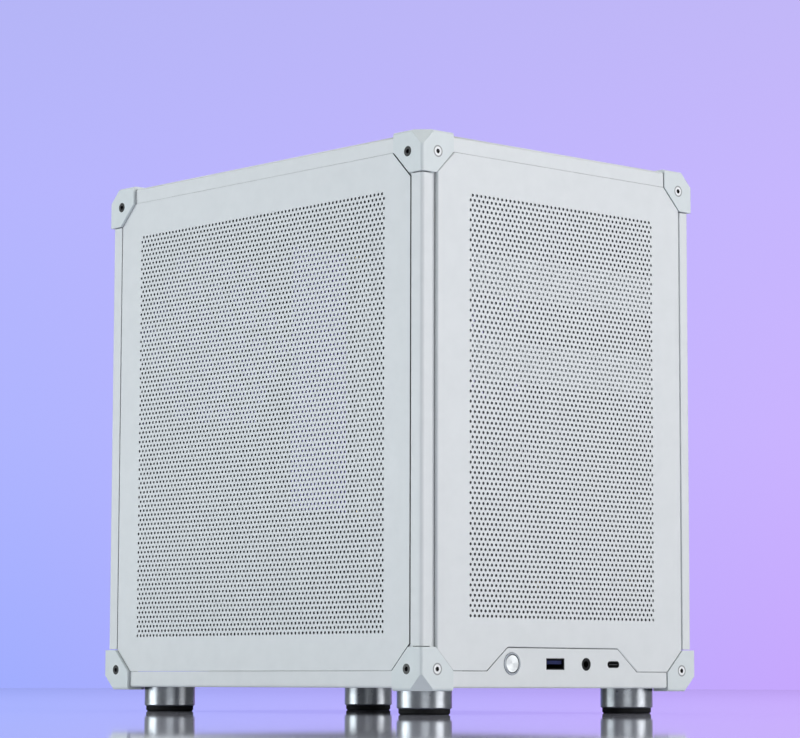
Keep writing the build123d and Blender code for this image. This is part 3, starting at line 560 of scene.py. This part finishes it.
def finish_of(
    name,
    dark,
    light,
    rough,
    metallic=0.0,
    grain=900.0,
    bump=0.1,
    depth=0.04 * mm,
    gaps=0.0,
    shade=(),
    painted_light_places=(),
    ring=(),
    **sockets,
):
    """Finish with slight mottling, a roughness that wanders, a fine grain, painted shade in gaps,
    boxes and rings, and painted light in the places given.
    """
    made, shader, coords = new_material(name)
    links = made.node_tree.links
    colour = tinted(made, noise(made, coords, grain * mottle_share), dark, light)
    # Painted shade in narrow gaps and corners
    if gaps:
        colour = shaded(made, colour, painted_crevice_shade(made, gaps))
    # Painted shade inside a box, raised by painted light in the places given
    if shade:
        factor = within(made, coords, *shade)
        colour = shaded(made, colour, painted_light_raise(made, coords, factor, painted_light_places, painted_rail_light))
    # Painted shadow ring round the screws
    if ring:
        colour = shaded(made, colour, ringed(made, coords, *ring))
    links.new(colour, shader.inputs["Base Color"])
    wander = noise(made, coords, grain * wander_share)
    links.new(mapped(made, wander, noise_middle, rough), shader.inputs["Roughness"])
    shader.inputs["Metallic"].default_value = metallic
    for socket, value in sockets.items():
        shader.inputs[socket.replace("_", " ")].default_value = value
    bumped(made, shader, noise(made, coords, grain), bump, depth)
    return made


# Turned metal: scales of its mottling, roughness and rings, and how much rings are drawn out
turned_mottle = 300.0
turned_wander = 200.0
turned_grain = 2500.0
turned_squash = 0.05
turned_bump = 0.08
turned_depth = 0.02 * mm


def turned_metal(name, dark, light, rough, axis, brushing):
    """Lathe-turned metal with fine rings; its shine can be drawn out along them."""
    made, shader, coords = new_material(name)
    links = made.node_tree.links
    colour = tinted(made, noise(made, coords, turned_mottle), dark, light)
    links.new(colour, shader.inputs["Base Color"])
    wander = noise(made, coords, turned_wander)
    links.new(mapped(made, wander, noise_middle, rough), shader.inputs["Roughness"])
    shader.inputs["Metallic"].default_value = 1.0
    shader.inputs["Anisotropic"].default_value = brushing
    tangent = add_node(made, "ShaderNodeTangent", direction_type="RADIAL", axis=axis)
    links.new(tangent.outputs["Tangent"], shader.inputs["Tangent"])
    squash = (turned_squash, turned_squash, 1.0) if axis == "Z" else (1.0, turned_squash, 1.0)
    place = add_node(made, "ShaderNodeMapping", (("Vector", coords), ("Scale", squash)))
    rings = noise(made, place.outputs["Vector"], turned_grain)
    bumped(made, shader, rings, turned_bump, turned_depth)
    return made


# White coats

white_low = (0.750, 0.776, 0.788)
white_high = (0.776, 0.801, 0.813)
white_coat = {
    "dark": white_low,
    "light": white_high,
    "rough": (0.36, 0.46),
    "grain": 1500.0,
    "bump": 0.22,
    "depth": 0.03 * mm,
    # Reach of the painted shade in gaps and corners
    "gaps": 1.2 * mm,
}
paint = finish_of("white_powder_coat", **white_coat)

# Painted shade: the frame's coat grows darker inside the case
inner_low = cad_low + Vector((3.4, 20.0, 32.0)) * mm
inner_high = cad_high - Vector((3.4, 20.0, 20.0)) * mm
inner_shade = 0.08
inner_soft = 0.25
shell_paint = finish_of(
    "white_shell_coat", shade=(inner_low, inner_high, inner_shade, inner_soft), **white_coat
)

# Painted shade: brightness inside the holes of a sheet, and a border with hardly any softness
hole_shade = 0.04
sharp = 0.0002


def sheet_paint(name, low, high, painted_light_places=()):
    """Coat of a perforated sheet with painted shade inside its holes, and painted light where white
    rails back them.
    """
    return finish_of(name, shade=(low, high, hole_shade, sharp), painted_light_places=painted_light_places, **white_coat)


# Caps, and the thin shadow ring round the screws in them

screw_inset = 11.0 * mm
screw_head_r = 2.7 * mm
ring_width = 1.0 * mm
ring_shade = 0.40
case_low_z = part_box("cap_bottom_front_left")[0].z
case_high_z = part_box("cap_top_front_left")[1].z
case_middle_z = (case_low_z + case_high_z) / 2
screw_spots = (cad_high.x - screw_inset, 0.0, (case_high_z - case_low_z) / 2 - screw_inset)
screw_ring = (screw_spots, case_middle_z, screw_head_r, ring_width, ring_shade)
cap_paint = finish_of(
    "cap_moulding",
    (0.705, 0.757, 0.768),
    (0.73, 0.782, 0.793),
    (0.34, 0.44),
    grain=1900.0,
    bump=0.10,
    depth=0.02 * mm,
    gaps=1.0 * mm,
    ring=screw_ring,
)

# Fasteners

# Painted shade in the hex recesses of the white screws, under a thin skin below their heads' faces
screw_face = 0.08 * mm
recess_shade = 0.03
screw_recess_low = (cad_low.x, cad_low.y + screw_face, 0.0)
screw_recess_high = (cad_high.x, cad_high.y - screw_face, cad_high.z)
black_oxide = finish_of(
    "black_oxide",
    (0.008, 0.008, 0.009),
    (0.018, 0.018, 0.020),
    (0.3, 0.45),
    metallic=0.4,
    grain=3000.0,
)
# White screws: painted shade in their hex recesses, and the painted shadow ring at their rim
white_screw = finish_of(
    "white_screw",
    (0.90, 0.91, 0.92),
    (0.96, 0.97, 0.98),
    (0.3, 0.4),
    grain=3000.0,
    shade=(screw_recess_low, screw_recess_high, recess_shade, sharp),
    ring=screw_ring,
)
plain_steel = finish_of(
    "plain_steel",
    (0.50, 0.50, 0.52),
    (0.62, 0.62, 0.64),
    (0.28, 0.4),
    metallic=1.0,
    grain=2500.0,
)
brass = finish_of(
    "brass",
    (0.60, 0.43, 0.18),
    (0.70, 0.52, 0.24),
    (0.25, 0.38),
    metallic=1.0,
    grain=2500.0,
)
nylon = finish_of("nylon", (0.66, 0.66, 0.63), (0.72, 0.72, 0.69), (0.4, 0.5), grain=2500.0)

# Feet, button, sockets and boards

rubber = finish_of(
    "rubber",
    (0.004, 0.004, 0.005),
    (0.009, 0.009, 0.010),
    (0.65, 0.8),
    grain=2200.0,
    bump=0.4,
    Specular_IOR_Level=0.2,
)
blue_plastic = finish_of(
    "blue_plastic",
    (0.003, 0.008, 0.06),
    (0.005, 0.012, 0.09),
    (0.3, 0.4),
    grain=3000.0,
    Specular_IOR_Level=0.15,
)
solder_mask = finish_of(
    "solder_mask", (0.010, 0.016, 0.014), (0.02, 0.03, 0.026), (0.3, 0.45), grain=1500.0
)
black_plastic = finish_of(
    "black_plastic",
    (0.005, 0.0055, 0.007),
    (0.010, 0.011, 0.014),
    (0.4, 0.55),
    grain=2500.0,
    bump=0.2,
    Specular_IOR_Level=0.15,
)
button_metal = turned_metal(
    "button_metal", (0.50, 0.52, 0.54), (0.58, 0.60, 0.62), (0.30, 0.36), "Y", 0.7
)
foot_metal = turned_metal(
    "foot_metal", (0.27, 0.285, 0.31), (0.33, 0.345, 0.37), (0.27, 0.33), "Z", 0.0
)
black_shell = finish_of(
    "black_shell",
    (0.014, 0.015, 0.018),
    (0.03, 0.032, 0.036),
    (0.3, 0.4),
    metallic=0.6,
    grain=3000.0,
)
button_ring = finish_of(
    "button_ring",
    (0.20, 0.22, 0.25),
    (0.28, 0.30, 0.33),
    (0.3, 0.4),
    metallic=1.0,
    grain=3000.0,
)

# Which finish goes on which slot, and the nodes that have one of their own

slot_finishes = {
    "white_paint": shell_paint,
    "corner_cap": cap_paint,
    "dark_screw": black_oxide,
    "white_screw": white_screw,
    "steel": plain_steel,
    "brass": brass,
    "nylon": nylon,
    "foot_metal": foot_metal,
    "rubber": rubber,
    "button_metal": button_metal,
    "blue_plastic": blue_plastic,
    "board": solder_mask,
    "black_plastic": black_plastic,
}
own_finishes = {
    "rail_lower": paint,
    "rail_upper": paint,
    "supply_bracket": paint,
    "usb_a_shell": black_shell,
    "usb_c_socket": black_shell,
    "button_housing": button_ring,
}
for subpart in frame["record"]["subparts"]:
    node = frame["nodes"][subpart["node"]]
    finish = own_finishes.get(subpart["node"], slot_finishes[subpart["material_slot"]])
    node.data.materials.clear()
    node.data.materials.append(finish)


def dress(pieces, material, body, node=None):
    """Give pieces their finish and their body, and hide the CAD node that they stand for."""
    for piece in pieces:
        piece.data.materials.append(material)
        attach(piece, body)
    if node:
        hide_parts(node)


# Fine sheets in place of the coarse ones: painted shade only in the walls of their holes

skin = Vector((hole_wall, 0, 0))
for side, sign in (("left", -1), ("right", 1)):
    low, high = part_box(f"{side}_panel")
    material = sheet_paint(f"{side}_sheet_coat", low + skin, high - skin)
    dress([side_panel(side, sign)], material, f"{side}_panel", f"{side}_panel")

low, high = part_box("front_panel")
field_w, field_h = 136.0 * mm, 217.0 * mm
# Painted light in the hole walls of the front sheet where the white rails stand behind them
rail_places = []
for rail in ("rail_lower", "rail_upper"):
    rail_low, rail_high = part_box(rail)
    rail_places.append(((rail_low.x, low.y, rail_low.z), (rail_high.x, rail_high.y, rail_high.z)))
material = sheet_paint(
    "front_sheet_coat",
    (front_field.x - field_w / 2, low.y + hole_wall, front_field.y - field_h / 2),
    (front_field.x + field_w / 2, low.y + sheet - hole_wall, front_field.y + field_h / 2),
    painted_light_places=rail_places,
)
dress([front_panel()], material, "front_panel", "front_panel")

low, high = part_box("top_cover")
material = sheet_paint(
    "top_sheet_coat",
    (low.x + 2 * cover_sheet, low.y + 2 * cover_sheet, high.z - cover_sheet + hole_wall),
    (high.x - 2 * cover_sheet, high.y - 2 * cover_sheet, high.z - hole_wall),
)
dress(top_cover(), material, "top_cover", "top_cover")

# Floor, light and camera

stage_reach = 6.0
stage_corners = ((-1, -1), (1, -1), (1, 1), (-1, 1))
floor = mesh_piece(
    "floor",
    [(x * stage_reach, y * stage_reach, 0.0) for x, y in stage_corners],
    [(0, 1, 2, 3)],
)

# Camera as solved from the photograph
image_w = 800
focal_px = 2921.2
eye = Vector((-1.0866, -1.2098, 0.0157))
yaw, tilt, roll = radians(42.026), radians(6.147), radians(0.159)
forward = Vector((sin(yaw) * cos(tilt), cos(yaw) * cos(tilt), sin(tilt)))
level_right = Vector((cos(yaw), -sin(yaw), 0.0))
level_up = level_right.cross(forward)
right = level_right * cos(roll) + level_up * sin(roll)
up = level_up * cos(roll) - level_right * sin(roll)
camera_data = bpy.data.cameras.new("camera")
camera_data.sensor_width = 36.0
camera_data.lens = focal_px * camera_data.sensor_width / image_w
camera_data.clip_start = 0.01
camera = bpy.data.objects.new("camera", camera_data)
camera.matrix_world = Matrix.Translation(eye) @ Matrix((right, up, -forward)).transposed().to_4x4()
bpy.context.scene.collection.objects.link(camera)
bpy.context.scene.camera = camera


def area_light(name, spot, aim, size, power, colour):
    """Soft rectangular lamp."""
    data = bpy.data.lights.new(name, "AREA")
    data.shape = "RECTANGLE"
    data.size, data.size_y = size
    data.energy = power
    data.color = colour
    lamp = bpy.data.objects.new(name, data)
    lamp.location = spot
    lamp.rotation_mode = "QUATERNION"
    lamp.rotation_quaternion = (Vector(aim) - Vector(spot)).to_track_quat("-Z", "Y")
    lamp.visible_camera = False
    bpy.context.scene.collection.objects.link(lamp)


middle = (cad_low + cad_high) / 2
area_light("front_key", (1.1, -2.5, 0.9), middle, (1.8, 2.2), 43.0, (1.0, 1.0, 0.99))
area_light("left_fill", (-2.4, 1.45, 0.05), middle, (1.8, 2.2), 48.5, (0.93, 1.0, 1.0))
area_light("side_low", (-1.0, 0.9, 0.06), middle, (0.8, 0.5), 1.9, (0.93, 1.0, 1.0))
area_light("low_fill", (-1.7, -2.1, 0.05), middle, (1.4, 1.4), 9.0, (0.97, 1.0, 1.0))
area_light("top_soft", (0.2, 0.6, 2.4), middle, (2.0, 2.0), 22.0, (1.0, 1.0, 1.0))

# Room: soft light for the object, and the lavender backdrop for the camera and the floor's shine
world = bpy.data.worlds.new("room")
bpy.context.scene.world = world
world.use_nodes = True
world.node_tree.nodes.clear()
direction = add_node(world, "ShaderNodeTexCoord").outputs["Generated"]


def along(axis, low, high):
    """How far the view turns towards an axis, as a value from 0 to 1."""
    dot = number_of(world, "DOT_PRODUCT", direction, axis)
    return mapped(world, dot, (low, high), (0.0, 1.0))


def blend(factor, first, second):
    """Colour or shader between two."""
    if second.type == "SHADER":
        mix = add_node(world, "ShaderNodeMixShader", ((0, factor), (1, first), (2, second)))
        return mix.outputs["Shader"]
    mix = add_node(world, "ShaderNodeMix", ((0, factor), (6, first), (7, second)), data_type="RGBA")
    return mix.outputs[2]


def rising(height, stops):
    """Colour by height, from four stops."""
    ramp = add_node(world, "ShaderNodeValToRGB", (("Fac", height),))
    elements = ramp.color_ramp.elements
    while len(elements) < len(stops):
        elements.new(0.5)
    for element, (position, colour) in zip(elements, stops):
        element.position = position
        element.color = (*colour, 1)
    return ramp.outputs["Color"]


def background(colour, strength):
    """Plain background shader."""
    node = add_node(world, "ShaderNodeBackground", (("Color", colour), ("Strength", strength)))
    return node.outputs["Background"]


backdrop_top = 0.24
backdrop_half = 0.13
shine_cone = (0.80, 0.86)
height = along(Vector((0.0, 0.0, 1.0)), 0.0, backdrop_top)
left_side = rising(
    height,
    [
        (0.0, (0.36, 0.42, 1.0)),
        (0.35, (0.43, 0.46, 1.0)),
        (0.7, (0.47, 0.465, 0.99)),
        (1.0, (0.462, 0.462, 0.92)),
    ],
)
right_side = rising(
    height,
    [
        (0.0, (0.56, 0.39, 0.99)),
        (0.35, (0.585, 0.45, 1.0)),
        (0.7, (0.565, 0.468, 0.99)),
        (1.0, (0.533, 0.474, 0.93)),
    ],
)
backdrop = blend(along(level_right, -backdrop_half, backdrop_half), left_side, right_side)
seen = background(backdrop, 1.0)
lit = background((0.94, 0.98, 1.0, 1), 0.34)
path = add_node(world, "ShaderNodeLightPath").outputs
ahead = along(forward, *shine_cone)
shine = math_of(world, "MULTIPLY", path["Is Glossy Ray"], ahead)
facing = math_of(world, "MAXIMUM", path["Is Camera Ray"], shine)
add_node(world, "ShaderNodeOutputWorld", (("Surface", blend(facing, lit, seen)),))

floor_material, floor_shader, _ = new_material("floor")
floor_shader.inputs["Base Color"].default_value = (0.70, 0.70, 0.80, 1)
floor_shader.inputs["Roughness"].default_value = 0.035
floor.data.materials.append(floor_material)

bpy.context.scene.view_settings.view_transform = "Standard"
